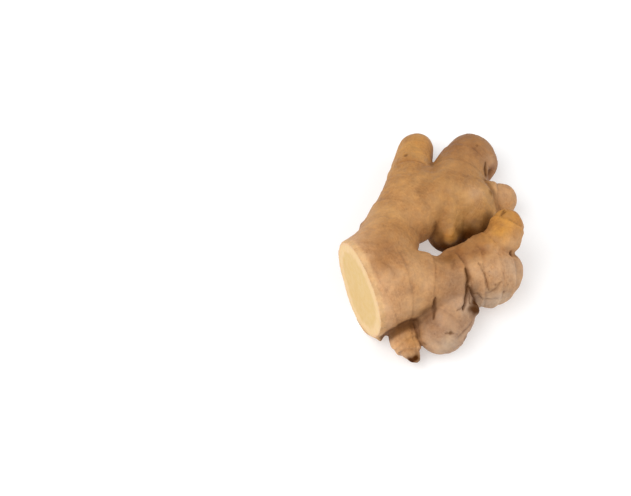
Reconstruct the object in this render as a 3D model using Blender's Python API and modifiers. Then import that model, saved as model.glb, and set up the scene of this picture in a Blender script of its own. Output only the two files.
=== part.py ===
"""Ginger root: one grown piece, cut across at one end, lying on its broad side.

Run with: blender --background --python part.py

The root is a cluster of swollen lobes. Each lobe is a chain of round beads along a bent
line. A voxel remesh fuses the beads into one body. Its skin is then moved in and out by
formulas, for the lumps, the leaf rings, the creases, the cracks and the root scars.
Distances are millimetres, turned into Blender's metres at the end.
Right is +X, away from the viewer is +Y, and up is +Z.
"""
import math
import random

import bmesh
import bpy
import numpy as np
from mathutils import Matrix, Vector, noise

MM = 0.001
SEED = 11
SKIN_COLOUR = (0.52, 0.29, 0.135)
SKIN_ROUGHNESS = 0.62

# The middle of the finished root's box, and the height at which its low spots are
# flattened where it lies. The origin is put under the middle, on that level.
BOX_MIDDLE_X = -1.1
BOX_MIDDLE_Y = -3.43
REST_LEVEL = 0.9

# Each lobe's beads are (x, y, height, radius). The first lies inside the piece that the
# lobe grows from. Each ring is a leaf ring: (distance along the lobe, height of its lip).
# The crease is how deep the skin is drawn in round the foot of the lobe.
LOBES = {
    "main": {
        "beads": [(-45, -39, 21, 18.5), (-30.2, -33.5, 19, 18.5), (-20, -29.5, 19.5, 18),
                  (-10, -27.8, 18, 15.3), (2, -26.8, 17, 11.9), (13, -22, 16.5, 12.5),
                  (24, -20.3, 15, 13.9)],
        "rings": [(22, 0.4), (31, 0.4), (44, 0.4), (59, 0.8), (67, 0.6), (74, 0.5), (81, 0.5)],
        "crease": 0,
    },
    "long_finger": {
        "beads": [(-39, -34, 23, 18), (-24, -17, 21.5, 15.2), (-18.1, -3, 20, 12.5),
                  (-12, 11, 18.5, 11.9), (-8.6, 23, 16, 10.5), (-7.4, 36, 13.5, 8.7),
                  (-5.7, 44.7, 12, 7.6)],
        "rings": [(36, 0.2), (47, 0.25), (55, 0.2), (63, 0.25), (72, 0.7)],
        "crease": 0,
    },
    "web": {
        "beads": [(-14, 4, 18.5, 12.5), (-3, 11.3, 18, 12), (8, 16.5, 16.5, 13.8)],
        "rings": [],
        "crease": 0,
    },
    "web_end": {
        "beads": [(-4, 10, 18, 12), (-1, 16, 17.2, 11.5), (0.5, 22.3, 15.8, 9.8)],
        "rings": [],
        "crease": 0,
    },
    "web_side": {
        "beads": [(-9, 6, 18.6, 12.2), (-5.6, 16.4, 17.6, 11.6), (-3.3, 22, 16.2, 10.2)],
        "rings": [],
        "crease": 0,
    },
    "far_finger": {
        "beads": [(-3, 11, 17.5, 12), (8.3, 19, 16, 13), (12, 29, 14.5, 11.9),
                  (18.7, 39, 12.3, 12)],
        "rings": [(15, 0.25), (23, 0.35), (33, 0.45), (44, 0.35)],
        "crease": 0,
    },
    "far_shoulder": {
        "beads": [(5, 15, 16.5, 13), (16.5, 14.4, 15.5, 11.8), (19, 5, 12.5, 9)],
        "rings": [],
        "crease": 0,
    },
    "far_belly": {
        "beads": [(6, 12, 16.5, 12), (7.2, 2.1, 11.3, 9.1)],
        "rings": [],
        "crease": 0.3,
    },
    "far_knob": {
        "beads": [(17, 17, 14, 9), (31, 18, 12.5, 6.8)],
        "rings": [(12, 0.6)],
        "crease": 1.0,
    },
    "near_finger": {
        "beads": [(10.2, -20.2, 17.8, 10.2), (21.1, -14.2, 21.3, 7.8), (28.4, -9.1, 23.8, 8.1),
                  (31.4, -3.6, 25.2, 8)],
        "rings": [(12, 0.3), (19, 0.4), (29, 0.5)],
        "crease": 0.4,
    },
    "front_lobe": {
        "beads": [(8, -27, 15, 11.8), (6.2, -37.5, 13.2, 10.9), (2.2, -44.9, 11.3, 10.5)],
        "rings": [(14, 0.45), (21, 0.4), (26, 0.35)],
        "crease": 0.3,
    },
    "front_knob": {
        "beads": [(-15.7, -41, 13, 7), (-12.8, -49.7, 10, 6.3), (-10.2, -54.6, 8.6, 3.8),
                  (-8.1, -58, 7.6, 1.2)],
        "rings": [(10, 0.5), (14.5, 0.6)],
        "crease": 1.1,
    },
    "nodule": {
        "beads": [(13.5, -36.5, 17, 4), (16.2, -39.2, 17.6, 2.5)],
        "rings": [],
        "crease": 0,
    },
    "cut_nub": {
        "beads": [(-19.8, -36, 13, 7), (-22.6, -45, 8, 3), (-23.1, -47.8, 6.8, 1.6)],
        "rings": [],
        "crease": 0,
    },
}

# The knife cut that parted this piece from the rest of the root.
CUT_POINT = (-39.3, -19.5, 4.7)
CUT_NORMAL = (-0.906, -0.4145, 0.108)

BEAD_STEP = 1.6
BEAD_DETAIL = 3
VOXEL = 1.0
ROUNDING_STEPS = 5
LOBE_EDGE = 0.4
CREASE_WIDTH = 1.3

# The lumps are (size, height). A leaf ring is a slow rise to a lip that turns down into
# a groove. The groove is a share of the lip's height. A ring wanders to and fro along the
# lobe by a tilt between the two as it goes round, with a smaller wave twice round on top.
LUMPS = [(17.0, 1.1), (7.0, 0.4)]
RING_RISE = 2.6
RING_TURN = 0.35
RING_GROOVE_PLACE = 1.1
RING_GROOVE_WIDTH = 1.0
RING_GROOVE_SHARE = 0.6
RING_TILT = (0.56, 1.4)
RING_WAVE = 0.5

# Cracks in the skin: the lobe, the places along the crack, its depth and its half width.
# A place is (distance along the lobe, angle round it in degrees from the top).
CRACKS = [
    ("main", [(58.9, 13), (58, 32), (57.3, 48), (56, 58)], 1.0, 0.9),
    ("front_lobe", [(4, -34), (8.5, -33), (10.5, -34)], 0.9, 0.9),
    ("front_lobe", [(3, -40), (4.5, -50), (7, -71)], 0.7, 0.8),
    ("main", [(64.6, 12), (66, 28), (67.3, 42), (68, 61)], 0.6, 0.8),
    ("main", [(71.5, 38), (73, 48), (70.5, 57), (68.3, 66)], 0.4, 0.8),
    ("main", [(64, 80), (68, 81), (72, 77)], 0.4, 0.8),
    ("main", [(44.3, 42), (43.6, 56), (43.4, 76)], 1.1, 0.9),
    ("front_lobe", [(19, 100), (20, 130), (18, 160)], 0.6, 0.9),
    ("far_finger", [(20, -150), (24, -170), (22, 170)], 0.6, 0.9),
]

# Single features: the lobe, the distance along it, the angle round it, the half width
# and the height. Those of less than no height are wounds and dents.
KNOTS = [
    ("far_belly", 13, -5, 2.6, 1.5),
    ("far_finger", 34, 76, 2.9, -1.7),
    ("long_finger", 77, -21, 1.5, -0.4),
    ("near_finger", 33, -35, 1.8, 0.7),
    ("near_finger", 21, 79, 1.4, -0.7),
    ("front_lobe", 21, -34, 1.4, 0.4),
    ("front_lobe", 27, 78, 1.8, 0.7),
    ("main", 66, -60, 2.4, 0.8),
]

# Root scars are scattered over these shares of a lobe's length, at these angles from its
# top on either side.
SCARS_PER_LOBE = 4
SCAR_PLACES = (0.35, 1.0)
SCAR_ANGLES = (60, 180)
SCAR_RADIUS = (1.5, 2.2)
SCAR_HEIGHT = 0.6

# A slice takes points nearer its plane than this as lying on it.
SLICE_TOLERANCE = 1e-4
TRIANGLES = 11300


def clear_scene():
    for obj in list(bpy.data.objects):
        bpy.data.objects.remove(obj, do_unlink=True)


def skin_material():
    material = bpy.data.materials.new("ginger_skin")
    material.use_nodes = True
    surface = material.node_tree.nodes["Principled BSDF"]
    surface.inputs["Base Color"].default_value = (*SKIN_COLOUR, 1)
    surface.inputs["Roughness"].default_value = SKIN_ROUGHNESS
    surface.inputs["Metallic"].default_value = 0
    return material


def bent_line(beads):
    """Points (x, y, z, radius) about BEAD_STEP apart on a smooth line through the beads."""
    knots = np.array(beads, float)
    padded = np.vstack([2 * knots[0] - knots[1], knots, 2 * knots[-1] - knots[-2]])
    line = [knots[0]]
    for before, start, end, after in zip(padded, padded[1:], padded[2:], padded[3:]):
        steps = max(2, math.ceil(np.linalg.norm((end - start)[:3]) / BEAD_STEP))
        for step in range(1, steps + 1):
            t = step / steps
            line.append(0.5 * (2 * start + (end - before) * t
                               + (2 * before - 5 * start + 4 * end - after) * t ** 2
                               + (3 * start - before - 3 * end + after) * t ** 3))
    return np.array(line)


def beaded_object(name):
    """Every lobe's beads in one mesh, still overlapping."""
    shape = bmesh.new()
    for lobe in LOBES.values():
        for x, y, z, radius in bent_line(lobe["beads"]):
            bmesh.ops.create_icosphere(shape, subdivisions=BEAD_DETAIL, radius=radius,
                                       matrix=Matrix.Translation((x, y, z)))
    mesh = bpy.data.meshes.new(name)
    shape.to_mesh(mesh)
    shape.free()
    obj = bpy.data.objects.new(name, mesh)
    parts = bpy.data.collections.new("ginger root")
    bpy.context.scene.collection.children.link(parts)
    parts.objects.link(obj)
    return obj


def apply_modifiers(obj):
    """Turns what the modifiers show into the object's own mesh."""
    graph = bpy.context.evaluated_depsgraph_get()
    made = bpy.data.meshes.new_from_object(obj.evaluated_get(graph))
    obj.modifiers.clear()
    obj.data = made


def fuse(obj):
    """Joins the beads into one skin and rounds the corners between the lobes."""
    skin = obj.modifiers.new("skin", "REMESH")
    skin.mode = "VOXEL"
    skin.voxel_size = VOXEL
    rounding = obj.modifiers.new("rounding", "SMOOTH")
    rounding.iterations = ROUNDING_STEPS
    apply_modifiers(obj)


class Lobe:
    """A lobe's line, and where points of the skin lie along and round it."""

    def __init__(self, name, spec):
        self.rings = spec["rings"]
        self.crease = spec["crease"]
        line = bent_line(spec["beads"])
        self.centres = line[:, :3]
        self.radii = line[:, 3]
        steps = np.linalg.norm(np.diff(self.centres, axis=0), axis=1)
        self.along = np.concatenate([[0], np.cumsum(steps)])
        tangents = np.gradient(self.centres, axis=0)
        self.tangents = tangents / np.linalg.norm(tangents, axis=1)[:, None]
        self.tops = np.array([0, 0, 1.0]) - self.tangents[:, 2:] * self.tangents
        self.tops /= np.linalg.norm(self.tops, axis=1)[:, None]
        self.sides = np.cross(self.tangents, self.tops)
        self.random = random.Random(f"{SEED} {name}")

    def locate(self, points):
        """For each point: its height over the beads, its distance along, its angle round."""
        offset = points[:, None, :] - self.centres[None, :, :]
        over = np.linalg.norm(offset, axis=2) - self.radii
        nearest = over.argmin(axis=1)
        rows = np.arange(len(points))
        offset = offset[rows, nearest]
        past = (offset * self.tangents[nearest]).sum(axis=1)
        up = (offset * self.tops[nearest]).sum(axis=1)
        across = (offset * self.sides[nearest]).sum(axis=1)
        return over[rows, nearest], self.along[nearest] + past, np.arctan2(across, up)

    def place(self, along, degrees):
        """The point of the beads' skin at that distance along and that angle round."""
        k = int(np.abs(self.along - along).argmin())
        past = min(max(along - self.along[k], 0), 0.95 * self.radii[k])
        reach = math.sqrt(self.radii[k] ** 2 - past ** 2)
        angle = math.radians(degrees)
        out = math.cos(angle) * self.tops[k] + math.sin(angle) * self.sides[k]
        return self.centres[k] + past * self.tangents[k] + reach * out

    def ring_relief(self, along, angle):
        """The leaf rings: each climbs slowly to a lip, then drops into a groove."""
        relief = np.zeros_like(along)
        for place, height in self.rings:
            turn, second = (self.random.uniform(0, 2 * math.pi) for _ in range(2))
            tilt = self.random.uniform(*RING_TILT)
            past = along - place - tilt * np.cos(angle - turn) - RING_WAVE * np.cos(2 * angle - second)
            lip = np.exp(np.minimum(past, 0) / RING_RISE) / (1 + np.exp(np.minimum(past / RING_TURN, 50)))
            groove = np.exp(-((past - RING_GROOVE_PLACE) / RING_GROOVE_WIDTH) ** 2)
            relief += height * (lip - RING_GROOVE_SHARE * groove)
        return relief


def scar_knots(lobes):
    """Root scars scattered over the sides and undersides of the ringed lobes, like KNOTS."""
    found = []
    for name, lobe in lobes.items():
        if not lobe.rings:
            continue
        chance = random.Random(f"{SEED} scars {name}")
        for _ in range(SCARS_PER_LOBE):
            along = chance.uniform(*SCAR_PLACES) * lobe.along[-1]
            degrees = chance.choice((-1, 1)) * chance.uniform(*SCAR_ANGLES)
            found.append((name, along, degrees, chance.uniform(*SCAR_RADIUS), SCAR_HEIGHT))
    return found


def distance_to_path(points, path):
    """How far each point is from the nearest stretch of the path."""
    nearest = np.full(len(points), np.inf)
    for start, end in zip(path, path[1:]):
        step = end - start
        share = np.clip((points - start) @ step / (step @ step), 0, 1)
        nearest = np.minimum(nearest, np.linalg.norm(points - start - share[:, None] * step, axis=1))
    return nearest


def skin_relief(points, lobes):
    """How far each point of the skin is moved outward."""
    relief = np.zeros(len(points))
    for size, height in LUMPS:
        relief += height * np.array([noise.noise(Vector(point) / size) for point in points])

    located = {name: lobe.locate(points) for name, lobe in lobes.items()}
    overs = np.array([over for over, along, angle in located.values()])
    shares = np.exp(-np.maximum(overs, 0) / LOBE_EDGE)
    rings = np.array([lobe.ring_relief(*located[name][1:]) for name, lobe in lobes.items()])
    relief += (shares * rings).sum(axis=0) / shares.sum(axis=0)

    for row, lobe in enumerate(lobes.values()):
        others = np.delete(overs, row, axis=0).min(axis=0)
        relief -= lobe.crease * np.exp(-((overs[row] - others) / CREASE_WIDTH) ** 2)

    for name, places, depth, width in CRACKS:
        path = [lobes[name].place(*place) for place in places]
        relief -= depth * np.exp(-(distance_to_path(points, path) / width) ** 2)
    for name, along, degrees, width, height in KNOTS + scar_knots(lobes):
        away = np.linalg.norm(points - lobes[name].place(along, degrees), axis=1)
        relief += height * np.exp(-(away / width) ** 2)
    return relief


def carve(obj):
    """Moves the skin in and out for the lumps, rings, creases and scars."""
    mesh = obj.data
    points = np.empty(len(mesh.vertices) * 3)
    mesh.vertices.foreach_get("co", points)
    points = points.reshape(-1, 3)
    outward = np.empty(len(mesh.vertices) * 3)
    mesh.vertices.foreach_get("normal", outward)
    lobes = {name: Lobe(name, spec) for name, spec in LOBES.items()}
    points += outward.reshape(-1, 3) * skin_relief(points, lobes)[:, None]
    mesh.vertices.foreach_set("co", points.ravel())
    mesh.update()


def thin_out(obj):
    """Drops triangles where the skin is smooth and keeps them along lips and creases."""
    fewer = obj.modifiers.new("fewer", "DECIMATE")
    fewer.ratio = TRIANGLES / sum(len(face.vertices) - 2 for face in obj.data.polygons)
    apply_modifiers(obj)


def drop_crumbs(shape):
    """Keeps only the largest body, where a slice has left slivers beside it."""
    left = set(shape.faces)
    bodies = []
    while left:
        body, edge_of_search = set(), [left.pop()]
        while edge_of_search:
            face = edge_of_search.pop()
            body.add(face)
            beside = {other for edge in face.edges for other in edge.link_faces} & left
            left -= beside
            edge_of_search.extend(beside)
        bodies.append(body)
    bodies.sort(key=len)
    crumbs = [face for body in bodies[:-1] for face in body]
    bmesh.ops.delete(shape, geom=crumbs, context="FACES")


def slice_flat(obj, point, normal):
    """Cuts away what lies on the side that the normal points to, and closes the cut flat."""
    shape = bmesh.new()
    shape.from_mesh(obj.data)
    everything = shape.verts[:] + shape.edges[:] + shape.faces[:]
    made = bmesh.ops.bisect_plane(shape, geom=everything, dist=SLICE_TOLERANCE,
                                  plane_co=Vector(point), plane_no=Vector(normal),
                                  clear_outer=True)
    rim = [item for item in made["geom_cut"] if isinstance(item, bmesh.types.BMEdge)]
    bmesh.ops.holes_fill(shape, edges=rim)
    drop_crumbs(shape)
    shape.to_mesh(obj.data)
    shape.free()


def main():
    clear_scene()
    root = beaded_object("ginger_root")
    fuse(root)
    carve(root)
    thin_out(root)
    slice_flat(root, CUT_POINT, CUT_NORMAL)
    slice_flat(root, (0, 0, REST_LEVEL), (0, 0, -1))
    middle = Matrix.Translation((-BOX_MIDDLE_X, -BOX_MIDDLE_Y, -REST_LEVEL))
    root.data.transform(Matrix.Scale(MM, 4) @ middle)
    root.data.shade_smooth()
    root.data.materials.append(skin_material())


main()
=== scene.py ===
"""Ginger root: the looks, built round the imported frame.

Run with: blender --background --python scene.py, or from Blender's text editor.

The root's body is made again from the same beads as the solid, on a finer voxel grid, with
finer relief. Its skin and the flesh of its knife cut are two procedural materials. They read
Object coordinates and the mesh's own attributes, which hold its tones and say where the leaf
rings, creases, buds and scars are. Lengths in the formulas are millimetres. The meshes are in
metres, in the frame's own place: right is +X, away from the viewer is +Y, and up is +Z.
"""
import math
import random

import bpy
import numpy as np
from bpy.props import FloatProperty, FloatVectorProperty, PointerProperty
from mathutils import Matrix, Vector, noise


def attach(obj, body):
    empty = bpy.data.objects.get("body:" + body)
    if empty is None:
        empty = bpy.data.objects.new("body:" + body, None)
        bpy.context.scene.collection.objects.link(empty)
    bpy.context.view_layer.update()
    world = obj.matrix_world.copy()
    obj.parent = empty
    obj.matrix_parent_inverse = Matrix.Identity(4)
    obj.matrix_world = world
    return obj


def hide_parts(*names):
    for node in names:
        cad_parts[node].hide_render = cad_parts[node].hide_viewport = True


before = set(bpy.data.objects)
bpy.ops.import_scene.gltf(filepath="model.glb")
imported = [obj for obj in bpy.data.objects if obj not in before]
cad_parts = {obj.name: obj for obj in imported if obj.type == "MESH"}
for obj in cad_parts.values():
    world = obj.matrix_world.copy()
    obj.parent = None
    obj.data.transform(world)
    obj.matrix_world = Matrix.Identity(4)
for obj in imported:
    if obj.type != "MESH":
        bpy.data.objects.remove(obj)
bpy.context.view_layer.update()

bl_info = {
    "name": "Ginger root",
    "version": (1, 0, 0),
    "blender": (4, 5, 0),
    "location": "View3D > Sidebar > Ginger",
    "description": "Builds a ginger root with its skin, its knife cut and a plain studio",
    "category": "Object",
}

MM = 0.001
SEED = 11

# The place of the beads' origin in the frame: the solid's origin is under the middle of its
# box, on the level at which its low spots are flattened.
BOX_MIDDLE_X = -1.1
BOX_MIDDLE_Y = -3.43
REST_LEVEL = 0.9
BEADS_TO_FRAME = np.array([-BOX_MIDDLE_X, -BOX_MIDDLE_Y, -REST_LEVEL])

# Each lobe's beads are (x, y, height, radius). The first lies inside the piece that the
# lobe grows from. Each ring is a leaf ring: (distance along the lobe, height of its lip).
# The crease is how deep the skin is drawn in round the foot of the lobe. The tone names the
# colour of its skin, and the bud is the distance along it where a swollen bud begins.
LOBES = {
    "main": {
        "beads": [(-45, -39, 21, 18.5), (-30.2, -33.5, 19, 18.5), (-20, -29.5, 19.5, 18),
                  (-10, -27.8, 18, 15.3), (2, -26.8, 17, 11.9), (13, -22, 16.5, 12.5),
                  (24, -20.3, 15, 13.9)],
        "rings": [(22, 0.3), (31, 0.3), (44, 0.35), (59, 0.8), (67, 0.5), (74, 0.45), (81, 0.4)],
        "crease": 0, "tone": "tan", "bud": None,
    },
    "long_finger": {
        "beads": [(-39, -34, 23, 18), (-24, -17, 21.5, 15.2), (-18.1, -3, 20, 12.5),
                  (-12, 11, 18.5, 11.9), (-8.6, 23, 16, 10.5), (-7.4, 36, 13.5, 8.7),
                  (-5.7, 44.7, 12, 7.6)],
        "rings": [(36, 0.2), (47, 0.25), (55, 0.2), (63, 0.25), (72, 0.7)],
        "crease": 0, "tone": "yellow_tan", "bud": None,
    },
    "web": {
        "beads": [(-14, 4, 18.5, 12.5), (-3, 11.3, 18, 12), (8, 16.5, 16.5, 13.8)],
        "rings": [],
        "crease": 0, "tone": "tan", "bud": None,
    },
    "web_end": {
        "beads": [(-4, 10, 18, 12), (-1, 16, 17.2, 11.5), (0.5, 22.3, 15.8, 9.8)],
        "rings": [],
        "crease": 0, "tone": "yellow_tan", "bud": None,
    },
    "web_side": {
        "beads": [(-9, 6, 18.6, 12.2), (-5.6, 16.4, 17.6, 11.6), (-3.3, 22, 16.2, 10.2)],
        "rings": [],
        "crease": 0, "tone": "yellow_tan", "bud": None,
    },
    "far_finger": {
        "beads": [(-3, 11, 17.5, 12), (8.3, 19, 16, 13), (12, 29, 14.5, 11.9),
                  (18.7, 39, 12.3, 12)],
        "rings": [(15, 0.25), (23, 0.3), (33, 0.3), (44, 0.25)],
        "crease": 0, "tone": "brown_tan", "bud": None,
    },
    "far_shoulder": {
        "beads": [(5, 15, 16.5, 13), (16.5, 14.4, 15.5, 11.8), (19, 5, 12.5, 9)],
        "rings": [],
        "crease": 0, "tone": "olive", "bud": None,
    },
    "far_belly": {
        "beads": [(6, 12, 16.5, 12), (7.2, 2.1, 11.3, 9.1)],
        "rings": [],
        "crease": 0.3, "tone": "olive", "bud": None,
    },
    "far_knob": {
        "beads": [(17, 17, 14, 9), (31, 18, 12.5, 6.8)],
        "rings": [(12, 0.5)],
        "crease": 0.7, "tone": "tan", "bud": None,
    },
    "near_finger": {
        "beads": [(10.2, -20.2, 17.8, 10.2), (21.1, -14.2, 21.3, 7.8), (28.4, -9.1, 23.8, 8.1),
                  (31.4, -3.6, 25.2, 8)],
        "rings": [(12, 0.3), (19, 0.4), (29, 0.5)],
        "crease": 0.4, "tone": "tan", "bud": 17,
    },
    "front_lobe": {
        "beads": [(8, -27, 15, 11.8), (6.2, -37.5, 13.2, 10.9), (2.2, -44.9, 11.3, 10.5)],
        "rings": [(14, 0.25), (21, 0.2), (26, 0.2)],
        "crease": 0.15, "tone": "grey_tan", "bud": None,
    },
    "front_knob": {
        "beads": [(-15.7, -41, 13, 7), (-12.8, -49.7, 10, 6.3), (-10.2, -54.6, 8.6, 3.8),
                  (-8.1, -58, 7.6, 1.2)],
        "rings": [(10, 0.5), (14.5, 0.6)],
        "crease": 0.7, "tone": "tan", "bud": None,
    },
    "nodule": {
        "beads": [(13.5, -36.5, 17, 4), (16.2, -39.2, 17.6, 2.5)],
        "rings": [],
        "crease": 0, "tone": "grey_tan", "bud": None,
    },
    "cut_nub": {
        "beads": [(-19.8, -36, 13, 7), (-22.6, -45, 8, 3), (-23.1, -47.8, 6.8, 1.6)],
        "rings": [],
        "crease": 0, "tone": "tan", "bud": None,
    },
}

# The knife cut that parted this piece from the rest of the root. A point is on the cut
# within its reach of the plane, where the mesh faces the cut's way. The cut's edge is worn
# round. The skin turns to a pale rim between the rim's depths behind the cut, and is peach
# coloured from there back to the peach reach.
CUT_POINT = np.array([-39.3, -19.5, 4.7])
CUT_NORMAL = np.array([-0.906, -0.4145, 0.108])
CUT_DIRECTION = CUT_NORMAL / np.linalg.norm(CUT_NORMAL)
CUT_REACH = 0.35
CUT_FACING = 0.9
RIM_REACH = 3 * CUT_REACH
EDGE_REACH = 2.2
EDGE_ROUNDING_STEPS = 14
RIM_DEPTHS = (3.2, 1.2)
RIM_RAGGING = 0.6
RIM_STRENGTH = 0.9
PEACH_REACH = 24.0
PEACH_FALL = 1.5

# How close the beads stand, how finely each is made, and how wide the joints between the
# lobes are smoothed. A place past the end of a lobe's line lies on its round end, at most
# the end reach past it, as a share of the radius there.
BEAD_STEP = 1.6
BEAD_DETAIL = 4
ROUNDING_WIDTH = 2.236
END_REACH = 0.95

# How far the relief and the tone of one lobe reach over the next, how slowly a bud's colour
# comes and how strong it is, and the half width of the crease round a lobe's foot.
LOBE_EDGE = 0.4
TONE_EDGE = 2.5
BUD_EASE = 14.0
BUD_STRENGTH = 0.8
CREASE_WIDTH = 1.3

# The lumps are (size, height). The first two are the solid's own, and the others are finer.
LUMPS = [(17.0, 1.1), (7.0, 0.4), (3.2, 0.16), (1.6, 0.06)]

# A leaf ring is a slow rise to a lip that turns down into a groove. The groove is a share of
# the lip's height. A ring wanders to and fro along the lobe by its tilt, which lies in a
# range, as it goes round, with a smaller wave twice round on top, and its torn edge wanders
# by its ragging. A ring of the full height or more is coloured at full strength. Powers of e
# are held to the largest power, so that they stay finite.
RING_RISE = 2.6
RING_TURN = 0.22
RING_GROOVE_PLACE = 0.9
RING_GROOVE_WIDTH = 0.9
RING_GROOVE_SHARE = 0.6
RING_TILT = (0.56, 1.4)
RING_WAVE = 0.5
RING_RAGGING = 0.45
RING_RAG_SIZE = 3.0
FULL_RING = 0.6
LARGEST_POWER = 50

# The fine fibres that run round the lobes between the leaf rings. They wander, and they
# fade out in places.
FIBRE_SPACING = 1.7
FIBRE_HEIGHT = 0.04
FIBRE_WANDER = 3.0
FIBRE_SHARE = 0.6

# Cracks and folds in the skin: the places along the crack, its depth, its half width, the
# height of the torn edge beside it and how dark it is. One of less than no depth is a ridge.
# A place is (lobe, distance along it, angle round it in degrees from the top).
CRACKS = [
    ([("main", 58.9, 13), ("main", 58, 32), ("main", 57.3, 48), ("main", 56, 58),
      ("front_lobe", 8.5, -33), ("front_lobe", 10.5, -34)], 1.2, 0.95, 0.45, 1.0),
    ([("main", 57.6, 52), ("front_lobe", 4.5, -50), ("front_lobe", 7, -71)], 0.8, 0.7, 0.3, 1.0),
    ([("front_lobe", 4.5, -50), ("main", 63, 70), ("main", 66.6, 82)], 0.3, 0.4, 0.2, 0.7),
    ([("front_lobe", 5, -38), ("front_lobe", 8, -45), ("front_lobe", 7.5, -60)], 0.3, 0.4, 0.2, 0.7),
    ([("front_lobe", 9, -34), ("front_lobe", 11, -26), ("front_lobe", 12, -22)], 0.25, 0.4, 0.2, 0.6),
    ([("front_lobe", 20.5, -43), ("front_lobe", 21.5, -36), ("front_lobe", 22.3, -26)],
     0.25, 0.5, 0.2, 0.6),
    ([("main", 64.6, 8), ("main", 66, 28), ("main", 67.3, 42), ("main", 68, 61)], 0.5, 0.45, 0.35, 0.65),
    ([("main", 73, 44), ("main", 70.5, 57), ("main", 68.3, 66)], 0.3, 0.6, 0.2, 0.45),
    ([("main", 64, 80), ("main", 68, 81), ("main", 72, 77)], 0.3, 0.5, 0.15, 0.3),
    ([("front_knob", 4, -35), ("front_knob", 9, -25), ("front_knob", 15, -20)], 0.2, 0.4, 0.15, 0.25),
    ([("front_knob", 3, 20), ("front_knob", 8, 25), ("front_knob", 14, 40)], 0.15, 0.4, 0.1, 0.15),
    ([("front_knob", 6, 0), ("front_knob", 11, 5), ("front_knob", 17, 10)], 0.15, 0.4, 0.1, 0.2),
    ([("main", 45.4, 51), ("main", 45.1, 58), ("front_lobe", 15.7, 25), ("front_lobe", 18.9, 15)],
     0.6, 0.75, 0.2, 0.75),
    ([("far_finger", 32.8, 46), ("far_finger", 31, 54), ("far_finger", 29.6, 62),
      ("far_finger", 30, 74)], 0.5, 1.1, 0.2, 0.9),
    ([("main", 57, -15), ("main", 55, -6), ("main", 54, 4)], 0.25, 0.6, 0.15, 0.3),
    ([("main", 25, -8), ("main", 27, 4), ("main", 26.5, 14)], 0.2, 0.5, 0.15, 0.25),
    ([("near_finger", 34, -38), ("near_finger", 31, -30), ("near_finger", 33, -20)], 0.4, 0.6, 0.2, 0.7),
    ([("front_lobe", 11, -75), ("front_lobe", 15, -70), ("front_lobe", 20, -58)], 0.3, 0.6, 0.5, 0.45),
    ([("web", 22.4, 12), ("far_belly", 6, -13), ("far_belly", 10, -6), ("far_belly", 13, 0)],
     -0.45, 1.3, 0.0, 0.0),
    ([("front_lobe", 19, 100), ("front_lobe", 20, 130), ("front_lobe", 18, 160)], 0.6, 0.8, 0.3, 0.7),
    ([("far_finger", 20, -150), ("far_finger", 24, -170), ("far_finger", 22, 170)], 0.6, 0.8, 0.3, 0.7),
]

# A crack wanders, narrows to a share of its width at its ends, and is ragged along its
# sides. The flake is how far its torn edge reaches, and the stain how far its dark spreads,
# as a share of its width.
CRACK_WANDER = 0.35
CRACK_WANDER_SIZE = 2.6
CRACK_END_SHARE = 0.5
CRACK_RAGGING = 0.4
FLAKE_REACH = 0.9
CRACK_STAIN = 1.1

# Single features: the lobe, the distance along it, the angle round it, the half width, the
# height and how dark it is. Those of less than no height are wounds and dents.
KNOTS = [
    ("nodule", 5, -20, 4.2, 0.2, 1.0),
    ("far_belly", 13.6, 2, 3.0, 1.45, 0.0),
    ("far_finger", 34, 76, 2.8, -1.6, 0.6),
    ("far_finger", 45, -7, 0.7, -0.1, 0.7),
    ("far_finger", 36, 7, 0.8, -0.1, 0.5),
    ("long_finger", 77, -21, 1.3, -0.3, 0.6),
    ("near_finger", 21, 79, 1.2, -0.6, 0.9),
    ("front_lobe", 21, -34, 1.0, -0.3, 0.7),
    ("front_lobe", 27, 78, 1.5, 0.5, 0.6),
    ("front_lobe", 29, 28, 1.1, -0.2, 0.5),
    ("main", 75, 65, 0.8, -0.2, 0.7),
    ("main", 71, 49, 0.7, -0.2, 0.6),
    ("main", 66, -60, 2.4, 0.8, 0.3),
]

# The dark on a knot has a ragged edge, and spreads over a share of its half width.
KNOT_RAGGING = 0.35
KNOT_STAIN = 0.8

# The scattered root scars: how many on a lobe, the share of its line and the angles to
# either side of the top where they lie, and their half width, height and darkness.
SCARS_PER_LOBE = 4
SCAR_PLACES = (0.35, 1.0)
SCAR_ANGLES = (60, 180)
SCAR_RADIUS = (1.5, 2.2)
SCAR_HEIGHT = 0.6
SCAR_DARKNESS = 0.6

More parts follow.
